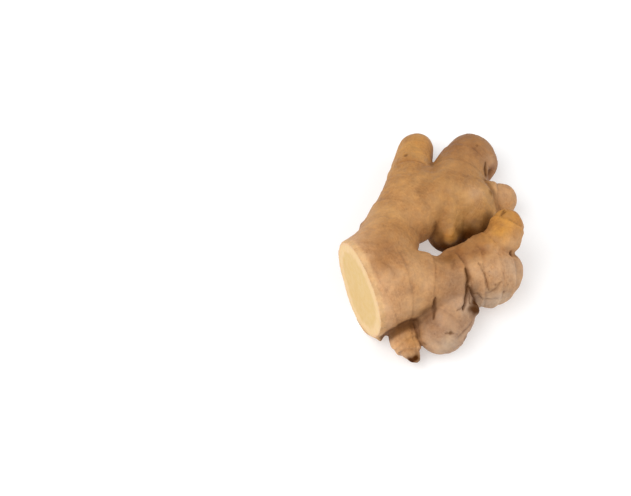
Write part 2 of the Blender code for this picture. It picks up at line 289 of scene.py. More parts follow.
# Soft patches of another tone: the tone, the lobe, the distance along it, the angle round
# it, the half width and how strong the patch is. One over full strength has a solid middle.
# The edge of every patch is ragged. The pale patches are partly the skin's own paler tone
# and partly painted highlights. The hollow patches are painted shade deep between the lobes,
# and the dark dried tip of the front knob and dark spots on the nodule. One brown patch is
# painted shade.
PATCHES = [
    ("pale", "main", 63, 31, 4.5, 0.8),
    ("pale", "main", 70, 26, 4.5, 0.7),
    ("pale", "main", 77, 34, 6.0, 0.9),
    ("pale", "main", 42, 30, 2.2, 0.6),
    ("pale", "front_lobe", 28, -25, 5.0, 0.5),
    ("pale", "far_knob", 14, 0, 6.0, 0.5),
    ("pale", "far_finger", 36, 60, 4.5, 0.6),
    ("pale", "near_finger", 24, 45, 5.0, 0.8),
    ("pale", "near_finger", 17, 40, 4.0, 0.4),
    ("ash", "main", 80, 20, 6.0, 0.6),
    ("ash", "main", 69, 100, 5.5, 1.0),
    ("ash", "main", 74, 78, 6.5, 0.9),
    ("ash", "front_lobe", 12, -35, 4.0, 0.6),
    ("ash", "front_lobe", 9, -60, 4.0, 0.6),
    ("ash", "front_lobe", 25, -55, 5.5, 0.9),
    ("tan", "front_lobe", 14, -5, 5.0, 0.3),
    ("brown", "near_finger", 5, -20, 6.0, 1.0),
    ("brown", "near_finger", 12, -10, 6.0, 0.9),
    ("brown", "near_finger", 17, -40, 6.0, 0.8),
    ("brown", "near_finger", 31, -10, 2.5, 0.7),
    ("brown", "long_finger", 22, 3, 8.0, 0.7),
    ("brown", "long_finger", 14, 30, 7.5, 0.8),
    ("brown", "long_finger", 74, -3, 3.5, 0.3),
    ("brown", "main", 58, 30, 3.0, 0.4),
    ("brown", "main", 52, -10, 6.0, 0.4),
    ("brown", "main", 55, -28, 5.0, 0.9),
    # Painted shade on the top of the front knob, under the body.
    ("brown", "front_knob", 6, 10, 6.0, 0.7),
    ("brown", "web_side", 19.4, 6, 5.0, 0.75),
    ("brown", "web", 19.8, 10, 3.5, 0.4),
    ("brown", "long_finger", 41, 52, 4.0, 0.55),
    ("brown", "far_belly", 7.9, 25, 3.5, 0.5),
    ("brown", "main", 44, 85, 4.0, 0.4),
    ("brown", "far_finger", 21, 15, 6.0, 0.45),
    ("brown", "front_lobe", 14, -25, 5.5, 0.4),
    ("pale", "far_shoulder", 11.5, 0, 4.5, 0.6),
    ("brown", "front_lobe", 22, 0, 3.0, 0.4),
    ("bud", "long_finger", 82, -3, 8.0, 0.35),
    ("bud", "far_belly", 13.5, 0, 3.2, 0.7),
    ("bud", "near_finger", 25, -8, 6.5, 0.9),
    # Painted shade deep between the lobes.
    ("hollow", "far_belly", 18, 70, 6.0, 0.9),
    ("hollow", "far_shoulder", 27, 40, 6.0, 1.0),
    ("hollow", "far_shoulder", 25, 6, 3.0, 0.5),
    ("hollow", "far_belly", 10.6, 40, 3.0, 0.6),
    ("hollow", "front_lobe", 20, 32, 4.5, 0.4),
    ("hollow", "main", 56, -22, 4.0, 0.35),
    ("bud", "front_knob", 11, -15, 4.0, 0.4),
    ("crease", "main", 58.5, 66, 2.5, 0.4),
    # The dark dried tip of the front knob.
    ("hollow", "front_knob", 18.5, 10, 1.7, 1.5),
    ("hollow", "front_knob", 18.5, 75, 1.8, 1.5),
    ("crease", "cut_nub", 13.5, 0, 2.0, 0.9),
    # Dark spots on the nodule.
    ("hollow", "nodule", 3, -44, 1.8, 1.2),
    ("hollow", "nodule", 5.4, 20, 1.8, 1.3),
]

PATCH_RAGGING = 0.3

# Painted shade in the deep places, where the skin of the first lobe is darkened near the
# second: the lobes, the reach and how dark. It is at its darkest below a share of the reach.
# A knot that is fully raised stands out of the painted shade by its share.
SHADED_POCKETS = [
    ("far_belly", "near_finger", 9.4, 0.97),
    ("far_shoulder", "near_finger", 6.3, 0.8),
    ("near_finger", "far_belly", 6.5, 0.9),
    ("near_finger", "far_shoulder", 5.0, 0.9),
    ("main", "far_belly", 7.0, 0.8),
    ("far_belly", "main", 9.0, 0.95),
    ("main", "front_knob", 3.5, 0.6),
    ("front_knob", "main", 4.0, 0.7),
    ("front_lobe", "main", 3.0, 0.3),
    ("front_knob", "front_lobe", 1.5, 0.2),
    ("long_finger", "far_finger", 1.5, 0.5),
    ("far_knob", "far_shoulder", 1.4, 0.3),
    ("far_knob", "near_finger", 4.0, 0.7),
]
POCKET_EDGE = 1.5
POCKET_SHARE = 0.5
RAISED_FULLY = 0.7
RAISED_SHARE = 0.9

# The tints multiply the skin's colour, each by up to its share. The sunk tint is painted
# shade in the grooves, creases, cracks and dents of the relief, the raised tint a painted
# highlight on its raised parts, and the lipped tint a painted highlight on the ring lips.
WEATHERED = ((0.80, 0.71, 0.60), 0.7)
GREYED = ((0.84, 0.84, 0.90), 0.6)
FRESH = ((1.3, 1.27, 1.2), 0.65)
ROUGHENED = ((0.78, 0.70, 0.62), 1.0)
FLAKED = ((1.3, 1.3, 1.28), 0.5)
FIBROUS = ((0.80, 0.71, 0.62), 0.55)
LIP_HIGHLIGHT = ((1.25, 1.22, 1.2), 0.35)
SUNK_SHADE = ((0.62, 0.48, 0.36), 0.45)
RAISED_HIGHLIGHT = ((1.22, 1.2, 1.16), 0.4)

# The same for the flesh, and the floor.
RINGED = ((0.88, 0.80, 0.66), 0.2)
FIBRE_ENDS = ((0.84, 0.74, 0.55), 0.3)
DAMP = ((0.94, 0.88, 0.78), 0.25)
FLOOR_MOTTLE = ((0.97, 0.97, 0.97), 0.1)

# Where the flesh's faint ring lies, and the turn to the flesh inside it, in millimetres
# from the skin.
HEART_START = (4.0, 6.5)
RING_OUTSIDE = (4.3, 4.9)
RING_INSIDE = (5.8, 5.1)
FLESH_EDGE = (2.2, 0.6)

# The photograph's camera: its frame in pixels, the pixel where the beads' origin is seen,
# how many millimetres a pixel covers there, and the sensor's width in millimetres.
PHOTO_WIDTH = 631
PHOTO_HEIGHT = 496
ORIGIN_PIXEL_X = 430
ORIGIN_PIXEL_Y = 250
MM_PER_PIXEL = 0.44
SENSOR_WIDTH = 36.0
CLIP_START = 0.01

# The studio, in metres. The light at the right has a share of the key light's power.
FLOOR_SIZE = 6
LIGHT_SIZE = 0.8
LIGHT_TARGET = (0, 0, 0.015)
KEY_PLACE = (-0.4, -0.2, 0.75)
FILL_PLACE = (0.65, 0.05, 0.5)
FILL_SHARE = 0.45


def colour_setting(name, description, default):
    return FloatVectorProperty(
        name=name, description=description, default=default, size=3, min=0, max=1, subtype="COLOR")


def share_setting(name, description, default, top=1):
    return FloatProperty(
        name=name, description=description, default=default, min=0, max=top, subtype="FACTOR")


class GingerForm(bpy.types.PropertyGroup):
    """The sizes of the root's body."""

    grid: FloatProperty(
        name="Grid", description="Spacing of the body's mesh, in metres",
        default=0.00055, min=0.0004, max=0.003, unit="LENGTH")
    ring_height: share_setting(
        "Ring height", "Height of the leaf rings, as a share of the usual one", 1.0, top=2)
    fibre_height: FloatProperty(
        name="Fibre height", description="Height of the fine fibres between the rings, in metres",
        default=FIBRE_HEIGHT * MM, min=0, max=0.001, unit="LENGTH")


class GingerSkin(bpy.types.PropertyGroup):
    """The colours and gloss of the skin."""

    tan: colour_setting("Tan", "Colour of the body and of most lobes", (0.525, 0.288, 0.122))
    yellow_tan: colour_setting("Yellow tan", "Colour of the long finger", (0.52, 0.270, 0.090))
    brown_tan: colour_setting("Brown tan", "Colour of the far finger", (0.36, 0.172, 0.059))
    grey_tan: colour_setting("Grey tan", "Colour of the front lobe", (0.455, 0.28, 0.172))
    olive: colour_setting("Olive", "Colour of the lobes under the far finger", (0.47, 0.245, 0.062))
    # The brown patches are weathering, and one of them is painted shade under the body.
    brown: colour_setting("Brown", "Colour of the weathered patches", (0.36, 0.162, 0.046))
    # The pale tone is partly the skin's own paler tone and partly painted highlights.
    pale: colour_setting("Pale", "Colour of the smooth young skin", (0.62, 0.375, 0.20))
    ash: colour_setting("Ash", "Colour of the papery skin that has dried grey", (0.54, 0.39, 0.27))
    peach: colour_setting("Peach", "Colour of the body next to the knife cut", (0.72, 0.44, 0.24))
    rim: colour_setting("Rim", "Colour of the worn edge round the knife cut", (0.72, 0.455, 0.22))
    bud: colour_setting("Bud", "Colour of the young buds", (0.56, 0.258, 0.040))
    crease: colour_setting("Crease", "Colour in the cracks and scars", (0.085, 0.032, 0.010))
    # Colour of the painted shade deep between two lobes, and of the dark dried tip and spots.
    hollow: colour_setting("Hollow", "Colour deep between two lobes", (0.075, 0.022, 0.003))
    roughness: share_setting("Roughness", "Roughness of the dry skin", 0.6)


class GingerFlesh(bpy.types.PropertyGroup):
    """The colours and gloss of the cut flesh."""

    heart: colour_setting("Heart", "Colour of the flesh inside the faint ring", (0.72, 0.48, 0.18))
    bark: colour_setting("Bark", "Colour of the flesh outside the faint ring", (0.80, 0.55, 0.265))
    edge: colour_setting("Edge", "Colour of the flesh at the edge of the cut", (0.74, 0.46, 0.24))
    roughness: share_setting("Roughness", "Roughness of the moist flesh", 0.45)


class GingerStage(bpy.types.PropertyGroup):
    """The floor, the lights and the camera."""

    floor: colour_setting("Floor", "Colour of the floor", (0.62, 0.62, 0.62))
    floor_glow: FloatProperty(
        name="Floor glow", description="Strength of the light that comes up through the floor",
        default=0.4, min=0)
    key_power: FloatProperty(
        name="Key light", description="Power of the large soft light above the root, in watts",
        default=6.6, min=0, unit="POWER")
    sky: FloatProperty(
        name="Sky", description="Strength of the light from all round",
        default=0.4, min=0)
    elevation: FloatProperty(
        name="Camera elevation", description="How far above the horizon the camera looks from",
        default=math.radians(60), subtype="ANGLE")
    lens: FloatProperty(
        name="Lens", description="Focal length, in millimetres on a 36 mm sensor",
        default=100.0, min=20, max=300)


class GingerSettings(bpy.types.PropertyGroup):
    """Everything that can be set."""

    form: PointerProperty(type=GingerForm, name="Form", description="Sizes of the body")
    skin: PointerProperty(type=GingerSkin, name="Skin", description="Looks of the skin")
    flesh: PointerProperty(type=GingerFlesh, name="Flesh", description="Looks of the cut")
    stage: PointerProperty(type=GingerStage, name="Stage", description="Floor, lights and camera")


# The lobes' lines, as in the solid


def bent_line(beads):
    """Points (x, y, z, radius) about BEAD_STEP apart on a smooth line through the beads."""
    knots = np.array(beads, float)
    padded = np.vstack([2 * knots[0] - knots[1], knots, 2 * knots[-1] - knots[-2]])
    line = [knots[0]]
    for before, start, end, after in zip(padded, padded[1:], padded[2:], padded[3:]):
        steps = max(2, math.ceil(np.linalg.norm((end - start)[:3]) / BEAD_STEP))
        for step in range(1, steps + 1):
            t = step / steps
            line.append(0.5 * (2 * start + (end - before) * t
                               + (2 * before - 5 * start + 4 * end - after) * t ** 2
                               + (3 * start - before - 3 * end + after) * t ** 3))
    return np.array(line)


class Lobe:
    """A lobe's line, and where points of the skin lie along and round it."""

    def __init__(self, name, spec):
        self.rings = spec["rings"]
        self.crease = spec["crease"]
        self.tone = spec["tone"]
        self.bud = spec["bud"]
        line = bent_line(spec["beads"])
        self.centres = line[:, :3]
        self.radii = line[:, 3]
        steps = np.linalg.norm(np.diff(self.centres, axis=0), axis=1)
        self.along = np.concatenate([[0], np.cumsum(steps)])
        tangents = np.gradient(self.centres, axis=0)
        self.tangents = tangents / np.linalg.norm(tangents, axis=1)[:, None]
        self.tops = np.array([0, 0, 1.0]) - self.tangents[:, 2:] * self.tangents
        self.tops /= np.linalg.norm(self.tops, axis=1)[:, None]
        self.sides = np.cross(self.tangents, self.tops)
        self.random = random.Random(f"{SEED} {name}")
        self.start = 0.0

    def locate(self, points):
        """For each point: its height over the beads, its distance along, its angle round."""
        offset = points[:, None, :] - self.centres[None, :, :]
        over = np.linalg.norm(offset, axis=2) - self.radii
        nearest = over.argmin(axis=1)
        rows = np.arange(len(points))
        offset = offset[rows, nearest]
        past = (offset * self.tangents[nearest]).sum(axis=1)
        up = (offset * self.tops[nearest]).sum(axis=1)
        across = (offset * self.sides[nearest]).sum(axis=1)
        return over[rows, nearest], self.along[nearest] + past, np.arctan2(across, up)

    def place(self, along, degrees):
        """The point of the beads' skin at that distance along and that angle round."""
        k = int(np.abs(self.along - along).argmin())
        past = min(max(along - self.along[k], 0), END_REACH * self.radii[k])
        reach = math.sqrt(self.radii[k] ** 2 - past ** 2)
        angle = math.radians(degrees)
        out = math.cos(angle) * self.tops[k] + math.sin(angle) * self.sides[k]
        return self.centres[k] + past * self.tangents[k] + reach * out

    def rings_at(self, along, angle, rag):
        """The leaf rings' relief, how far past the nearest lip each point is, and its strength."""
        relief = np.zeros_like(along)
        nearest = np.full_like(along, np.inf)
        strength = np.zeros_like(along)
        for place, height in self.rings:
            turn, second = (self.random.uniform(0, 2 * math.pi) for _ in range(2))
            tilt = self.random.uniform(*RING_TILT)
            past = along - place - tilt * np.cos(angle - turn)
            past = past - RING_WAVE * np.cos(2 * angle - second) + RING_RAGGING * rag
            rise = np.exp(np.minimum(past, 0) / RING_RISE)
            lip = rise / (1 + np.exp(np.minimum(past / RING_TURN, LARGEST_POWER)))
            groove = np.exp(-((past - RING_GROOVE_PLACE) / RING_GROOVE_WIDTH) ** 2)
            relief += height * (lip - RING_GROOVE_SHARE * groove)
            nearer = np.abs(past) < np.abs(nearest)
            strength = np.where(nearer, min(height / FULL_RING, 1), strength)
            nearest = np.where(nearer, past, nearest)
        return relief, nearest, strength


def make_lobes():
    """Every lobe, each starting its distance along where it leaves its parent."""
    lobes = {}
    for name, spec in LOBES.items():
        lobe = Lobe(name, spec)
        root = lobe.centres[:1]
        if lobes:
            parents = [(*parent.locate(root)[:2], parent) for parent in lobes.values()]
            over, along, parent = min(parents, key=lambda found: found[0][0])
            lobe.start = parent.start + along[0]
        lobes[name] = lobe
    return lobes


def scar_knots(lobes):
    """Root scars scattered over the sides and undersides of the ringed lobes, like KNOTS."""
    found = []
    for name, lobe in lobes.items():
        if not lobe.rings:
            continue
        chance = random.Random(f"{SEED} scars {name}")
        for _ in range(SCARS_PER_LOBE):
            along = chance.uniform(*SCAR_PLACES) * lobe.along[-1]
            degrees = chance.choice((-1, 1)) * chance.uniform(*SCAR_ANGLES)
            radius = chance.uniform(*SCAR_RADIUS)
            found.append((name, along, degrees, radius, SCAR_HEIGHT, SCAR_DARKNESS))
    return found


def noise_at(points, size):
    """Smooth noise from -1 to 1 that varies over the size."""
    return np.array([noise.noise(Vector(point) / size) for point in points])


def wandered(points, size, reach):
    """The points, each moved by up to the reach by noise that varies over the size."""
    noise.seed_set(SEED)
    moves = np.array([noise.noise_vector(Vector(point) / size) for point in points])
    return points + reach * moves


def smooth_step(values, low, high):
    """0 below the low end, 1 above the high end, and eased between."""
    share = np.clip((values - low) / (high - low), 0, 1)
    return share * share * (3 - 2 * share)


# The body's relief and the marks that its materials read


class Skin:
    """The skin's points, where they lie on each lobe, and the marks found so far."""

    def __init__(self, points, outward):
        self.points = points
        self.outward = outward
        self.lobes = make_lobes()
        self.located = {name: lobe.locate(points) for name, lobe in self.lobes.items()}
        self.overs = np.array([over for over, along, angle in self.located.values()])
        self.soft = np.exp(-np.maximum(self.overs, 0) / TONE_EDGE)
        self.soft /= self.soft.sum(axis=0)
        alongs = np.array([lobe.start + self.located[name][1] for name, lobe in self.lobes.items()])
        self.fibre = (self.soft * alongs).sum(axis=0)
        self.rag = noise_at(points, RING_RAG_SIZE)
        self.dark = np.zeros(len(points))
        self.raised = np.zeros(len(points))
        self.hollow = np.zeros(len(points))
        self.ring_past = np.zeros(len(points))
        self.ring_strength = np.zeros(len(points))

    def spot(self, name, along, degrees):
        """The point of the skin nearest to that place on the beads."""
        place = self.lobes[name].place(along, degrees)
        return self.points[np.linalg.norm(self.points - place, axis=1).argmin()]

    def darken(self, mask):
        """Makes the skin at least as dark as the mask."""
        self.dark = np.maximum(self.dark, mask)

    def lumps(self):
        """The uneven swellings of every size."""
        return sum(height * noise_at(self.points, size) for size, height in LUMPS)

    def rings(self):
        """The leaf rings of every lobe, each where its own lobe is the nearest."""
        ringed = [lobe.rings_at(*self.located[name][1:], self.rag) for name, lobe in self.lobes.items()]
        shares = np.exp(-np.maximum(self.overs, 0) / LOBE_EDGE)
        shares /= shares.sum(axis=0)
        nearest = self.overs.argmin(axis=0), np.arange(len(self.points))
        reliefs, pasts, strengths = (np.array(rows) for rows in zip(*ringed))
        self.ring_past = pasts[nearest]
        self.ring_strength = strengths[nearest]
        return (shares * reliefs).sum(axis=0)

    def creases(self):
        """The drawn-in skin round the foot of each lobe."""
        relief = np.zeros(len(self.points))
        for row, lobe in enumerate(self.lobes.values()):
            others = np.delete(self.overs, row, axis=0).min(axis=0)
            relief -= lobe.crease * np.exp(-((self.overs[row] - others) / CREASE_WIDTH) ** 2)
        return relief

    def fibres(self):
        """The fine ridges round the lobes, where they show."""
        ridge = np.sin(2 * math.pi * self.fibre / FIBRE_SPACING + FIBRE_WANDER * self.rag)
        return ridge * np.clip(FIBRE_SHARE + self.rag, 0, 1)

    def cracks(self):
        """Every crack's groove, with the torn edge of the skin raised on one side of it."""
        relief = np.zeros(len(self.points))
        loose = wandered(self.points, CRACK_WANDER_SIZE, CRACK_WANDER)
        for places, depth, width, lip, darkness in CRACKS:
            path = [self.spot(*place) for place in places]
            away = np.full(len(loose), np.inf)
            side = np.zeros(len(loose))
            end = np.zeros(len(loose))
            for row, (start, stop) in enumerate(zip(path, path[1:])):
                step = stop - start
                share = np.clip((loose - start) @ step / (step @ step), 0, 1)
                offset = loose - start - share[:, None] * step
                distance = np.linalg.norm(offset, axis=1)
                nearer = distance < away
                away = np.where(nearer, distance, away)
                across = np.cross(step, self.outward)
                side = np.where(nearer, np.sign((offset * across).sum(axis=1)), side)
                end = np.where(nearer, (row + share) / (len(path) - 1), end)
            middle = np.sqrt(np.sin(math.pi * end))
            broad = width * (CRACK_END_SHARE + (1 - CRACK_END_SHARE) * middle)
            broad = broad * (1 + CRACK_RAGGING * self.rag)
            groove = np.exp(-(away / broad) ** 2)
            torn = np.exp(-np.maximum(away - broad, 0) / FLAKE_REACH)
            relief += lip * (side > 0) * torn * (1 - groove) - depth * groove
            self.darken(darkness * np.exp(-(away / (CRACK_STAIN * broad)) ** 2))
        return relief

    def knots(self):
        """Every knot, wound and scar, and how far each point is raised by them."""
        relief = np.zeros(len(self.points))
        for name, along, degrees, width, height, darkness in KNOTS + scar_knots(self.lobes):
            away = np.linalg.norm(self.points - self.spot(name, along, degrees), axis=1)
            relief += height * np.exp(-(away / width) ** 2)
            rough = away * (1 + KNOT_RAGGING * self.rag)
            self.darken(darkness * np.exp(-(rough / (KNOT_STAIN * width)) ** 4))
        self.raised = np.clip(relief / RAISED_FULLY, 0, 1)
        return relief

    def pocket_shade(self):
        """How dark the painted shade is where each point's lobe nearly meets another, less where raised.
        """
        rows = {name: row for row, name in enumerate(self.lobes)}
        deep = np.zeros(len(self.points))
        for first, second, reach, darkness in SHADED_POCKETS:
            on_first = np.exp(-np.maximum(self.overs[rows[first]], 0) / POCKET_EDGE)
            near_second = smooth_step(self.overs[rows[second]], reach, POCKET_SHARE * reach)
            deep = np.maximum(deep, darkness * on_first * near_second)
        return deep * (1 - RAISED_SHARE * self.raised)

    def buds(self):
        """How far each point has the colour of a young bud."""
        grown = np.zeros(len(self.points))
        for row, (name, lobe) in enumerate(self.lobes.items()):
            if lobe.bud is not None:
                along = self.located[name][1]
                grown += self.soft[row] * smooth_step(along, lobe.bud, lobe.bud + BUD_EASE)
        return BUD_STRENGTH * grown

    def tones(self, skin, depth):
        """The skin's colour at each point: lobe tones, then buds, patches, painted shade and the rim."""
        tones = np.array([tuple(getattr(skin, lobe.tone)) for lobe in self.lobes.values()])
        colour = self.soft.T @ tones

        def blend(mask, tone):
            mask = mask[:, None]
            return colour * (1 - mask) + np.array(tuple(getattr(skin, tone))) * mask

        colour = blend(self.buds(), "bud")
        colour = blend(np.clip(1 - depth / PEACH_REACH, 0, 1) ** PEACH_FALL, "peach")
        for tone, name, along, degrees, width, strength in PATCHES:
            away = np.linalg.norm(self.points - self.spot(name, along, degrees), axis=1)
            rough = away * (1 + PATCH_RAGGING * self.rag)
            mask = np.minimum(strength * np.exp(-(rough / width) ** 2), 1)
            colour = blend(mask, tone)
            # These patches and the painted shade are kept as one mask, where the skin is less glossy.
            if tone == "hollow":
                self.hollow = np.maximum(self.hollow, mask)
        # Painted shade deep between the lobes.
        pocket_shade = self.pocket_shade()
        colour = blend(pocket_shade, "hollow")
        self.hollow = np.maximum(self.hollow, pocket_shade)
        rim = smooth_step(depth + RIM_RAGGING * self.rag, *RIM_DEPTHS)
        return blend(RIM_STRENGTH * rim, "rim")


def skin_relief(skin, form):
    """How far each point of the skin moves outward, and the marks that colour it."""
    fine = form.ring_height * skin.rings() + skin.creases() + skin.cracks() + skin.knots()
    fine += form.fibre_height / MM * skin.fibres()
    marks = {"fibre": skin.fibre, "ring_past": skin.ring_past, "ring_strength": skin.ring_strength,
             "dark": skin.dark, "fine": fine}
    return skin.lumps() + fine, marks


def mesh_points(mesh):
    """The mesh's points in the beads' own millimetres."""
    points = np.empty(len(mesh.vertices) * 3)
    mesh.vertices.foreach_get("co", points)
    return points.reshape(-1, 3) / MM - BEADS_TO_FRAME


def set_mesh_points(mesh, points):
    """Moves the mesh's points to places in the beads' own millimetres."""
    mesh.vertices.foreach_set("co", ((points + BEADS_TO_FRAME) * MM).ravel())
    mesh.update()


def mesh_normals(mesh):
    normals = np.empty(len(mesh.vertices) * 3)
    mesh.vertices.foreach_get("normal", normals)
    return normals.reshape(-1, 3)


def store_mark(mesh, name, values):
    """Keeps one number for each point of the mesh, for the materials to read."""
    attribute = mesh.attributes.new(name, "FLOAT", "POINT")
    attribute.data.foreach_set("value", values.astype(np.float32))


def store_colour(mesh, name, colours):
    """Keeps one colour for each point of the mesh."""
    attribute = mesh.attributes.new(name, "FLOAT_COLOR", "POINT")
    with_alpha = np.column_stack([colours, np.ones(len(colours))])
    attribute.data.foreach_set("color", with_alpha.astype(np.float32).ravel())


# The body's mesh


def select_only(obj):
    bpy.ops.object.select_all(action="DESELECT")
    obj.select_set(True)
    bpy.context.view_layer.objects.active = obj


def beaded_lobe(name, spec):
    """One lobe's beads in one mesh, still overlapping."""
    spheres = bent_line(spec["beads"])
    spheres[:, :3] += BEADS_TO_FRAME
    first, *others = spheres * MM
    bpy.ops.mesh.primitive_ico_sphere_add(
        subdivisions=BEAD_DETAIL, radius=first[3], location=first[:3])
    lobe = bpy.context.object
    lobe.name = name
    bpy.ops.object.transform_apply(location=True)
    bpy.ops.object.mode_set(mode="EDIT")
    for x, y, z, radius in others:
        bpy.ops.mesh.primitive_ico_sphere_add(
            subdivisions=BEAD_DETAIL, radius=radius, location=(x, y, z))
    bpy.ops.object.mode_set(mode="OBJECT")
    return lobe


def apply_voxel_remesh(obj, grid):
    select_only(obj)
    skin = obj.modifiers.new("skin", "REMESH")
    skin.mode = "VOXEL"
    skin.voxel_size = grid
    bpy.ops.object.modifier_apply(modifier=skin.name)


def apply_rounding(obj, steps, near=None):
    """Smooths the whole mesh, or only the points in the mask near."""
    select_only(obj)
    rounding = obj.modifiers.new("rounding", "SMOOTH")
    rounding.iterations = steps
    if near is not None:
        group = obj.vertex_groups.new(name="near")
        group.add(np.flatnonzero(near).tolist(), 1.0, "REPLACE")
        rounding.vertex_group = group.name
    bpy.ops.object.modifier_apply(modifier=rounding.name)
    obj.vertex_groups.clear()


def cut_across(obj):
    """Cuts the root across with one stroke of a knife and closes the cut flat."""
    select_only(obj)
    bpy.ops.object.mode_set(mode="EDIT")
    bpy.ops.mesh.select_all(action="SELECT")
    bpy.ops.mesh.bisect(plane_co=(CUT_POINT + BEADS_TO_FRAME) * MM, plane_no=CUT_NORMAL,
                        use_fill=True, clear_outer=True)
    bpy.ops.object.mode_set(mode="OBJECT")


def depth_behind_cut(points):
    """How far each point lies behind the flat of the knife cut."""
    return (CUT_POINT - points) @ CUT_DIRECTION


def on_the_cut(mesh, points):
    """Which points of the mesh lie on the flat of the knife cut."""
    facing = mesh_normals(mesh) @ CUT_DIRECTION > CUT_FACING
    return facing & (np.abs(depth_behind_cut(points)) < CUT_REACH)


def distance_to_rim(points, cut):
    """How far each point of the cut is from the skin round it, and 0 off the cut."""
    skin = points[~cut]
    rim = skin[np.abs(depth_behind_cut(skin)) < RIM_REACH]
    distance = np.zeros(len(points))
    for row in np.flatnonzero(cut):
        distance[row] = np.sqrt(((rim - points[row]) ** 2).sum(axis=1).min())
    return distance


def plain_body(form):
    """The whole root in one smooth mesh, cut across."""
    parts = [beaded_lobe(name, spec) for name, spec in LOBES.items()]
    bpy.ops.object.select_all(action="DESELECT")
    for part in parts:
        part.select_set(True)
    body = parts[0]
    bpy.context.view_layer.objects.active = body
    bpy.ops.object.join()
    body.name = "root_body"
    body.data.name = "root_body"
    apply_voxel_remesh(body, form.grid)
    apply_rounding(body, round((ROUNDING_WIDTH * MM / form.grid) ** 2))
    cut_across(body)
    apply_voxel_remesh(body, form.grid)
    return body


def root_body(settings):
    """The whole root with its relief, and the marks that its materials read."""
    form = settings.form
    body = plain_body(form)
    mesh = body.data
    points = mesh_points(mesh)
    cut = on_the_cut(mesh, points)
    rim = distance_to_rim(points, cut)
    edge = (depth_behind_cut(points) < EDGE_REACH) & (~cut | (rim < EDGE_REACH))
    apply_rounding(body, EDGE_ROUNDING_STEPS, edge)

    points = mesh_points(mesh)
    skin = Skin(points, mesh_normals(mesh))
    relief, marks = skin_relief(skin, form)
    moved = points + skin.outward * (relief * (1 - cut))[:, None]
    moved[:, 2] = np.maximum(moved[:, 2], REST_LEVEL)
    set_mesh_points(mesh, moved)

    store_colour(mesh, "tone", skin.tones(settings.skin, depth_behind_cut(points)))
    marks.update(rim=rim, hollow=skin.hollow)
    for name, values in marks.items():
        store_mark(mesh, name, values)
    mesh.materials.append(skin_material(settings.skin))
    mesh.materials.append(flesh_material(settings.flesh))
    for face in mesh.polygons:
        face.material_index = int(all(cut[corner] for corner in face.vertices))
    mesh.shade_smooth()
    return body


# Materials


class Nodes:
    """A short way to add nodes to a tree and to join them."""

    def __init__(self, tree):
        self.tree = tree

    def feed(self, socket, value):
        if isinstance(value, bpy.types.NodeSocket):
            self.tree.links.new(value, socket)
        else:
            socket.default_value = value

    def add(self, kind, sockets=None, **settings):
        node = self.tree.nodes.new(kind)
        for name, value in settings.items():
            setattr(node, name, value)
        for name, value in (sockets or {}).items():
            self.feed(node.inputs[name], value)
        return node

    def maths(self, operation, *values):
        """The operation's result for the values."""
        node = self.add("ShaderNodeMath", operation=operation)
        for socket, value in zip(node.inputs, values):
            self.feed(socket, value)
        return node.outputs[0]

    def between(self, value, low, high, to_low=0.0, to_high=1.0):
        """Turns the value's stretch from low to high into to_low to to_high, eased at its ends."""
        node = self.add("ShaderNodeMapRange", interpolation_type="SMOOTHSTEP")
        for socket, given in zip(node.inputs, (value, low, high, to_low, to_high)):
            self.feed(socket, given)
        return node.outputs[0]

    def mixed(self, share, first, second, blend="MIX"):
        node = self.add("ShaderNodeMix", data_type="RGBA", blend_type=blend)
        sockets = {socket.identifier: socket for socket in node.inputs}
        for name, value in (("Factor_Float", share), ("A_Color", first), ("B_Color", second)):
            self.feed(sockets[name], value)
        return next(socket for socket in node.outputs if socket.identifier == "Result_Color")

    def product(self, first, *others):
        """All the values multiplied."""
        for other in others:
            first = self.maths("MULTIPLY", first, other)
        return first

    def tinted(self, colour, tint, *masks):
        """The colour multiplied by the tint, by up to the tint's share where the masks are."""
        shade, share = tint
        return self.mixed(self.product(share, *masks), colour, opaque(shade), "MULTIPLY")

    def mark(self, name, output="Fac"):
        """What the mesh keeps under the name for each point, as a number."""
        return self.add("ShaderNodeAttribute", attribute_name=name,
                        attribute_type="GEOMETRY").outputs[output]

    def mottled(self, size, detail, contrast):
        """Soft patches of the size in metres, from 0 to 1."""
        sockets = {"Size": size, "Detail": detail, "Contrast": contrast}
        return self.add("ShaderNodeGroup", sockets, node_tree=mottle_group()).outputs[0]

    def specked(self, size, radius, share):
        """Small round specks in a share of the cells of the size in metres, from 0 to 1."""
        sockets = {"Size": size, "Radius": radius, "Share": share}
        return self.add("ShaderNodeGroup", sockets, node_tree=speck_group()).outputs[0]


def new_group(name, sockets, output):
    """An empty node group with number inputs and one number output, and its Nodes."""
    tree = bpy.data.node_groups.new(name, "ShaderNodeTree")
    for socket, value in sockets.items():
        made = tree.interface.new_socket(socket, in_out="INPUT", socket_type="NodeSocketFloat")
        made.default_value = value
    tree.interface.new_socket(output, in_out="OUTPUT", socket_type="NodeSocketFloat")
    nodes = Nodes(tree)
    return nodes, nodes.add("NodeGroupInput").outputs, nodes.add("NodeGroupOutput").inputs


def scaled_place(nodes, size):
    """Object coordinates counted in sizes, which are in metres."""
    place = nodes.add("ShaderNodeTexCoord").outputs["Object"]
    return nodes.add("ShaderNodeVectorMath", {0: place, 3: nodes.maths("DIVIDE", 1.0, size)},
                     operation="SCALE").outputs[0]


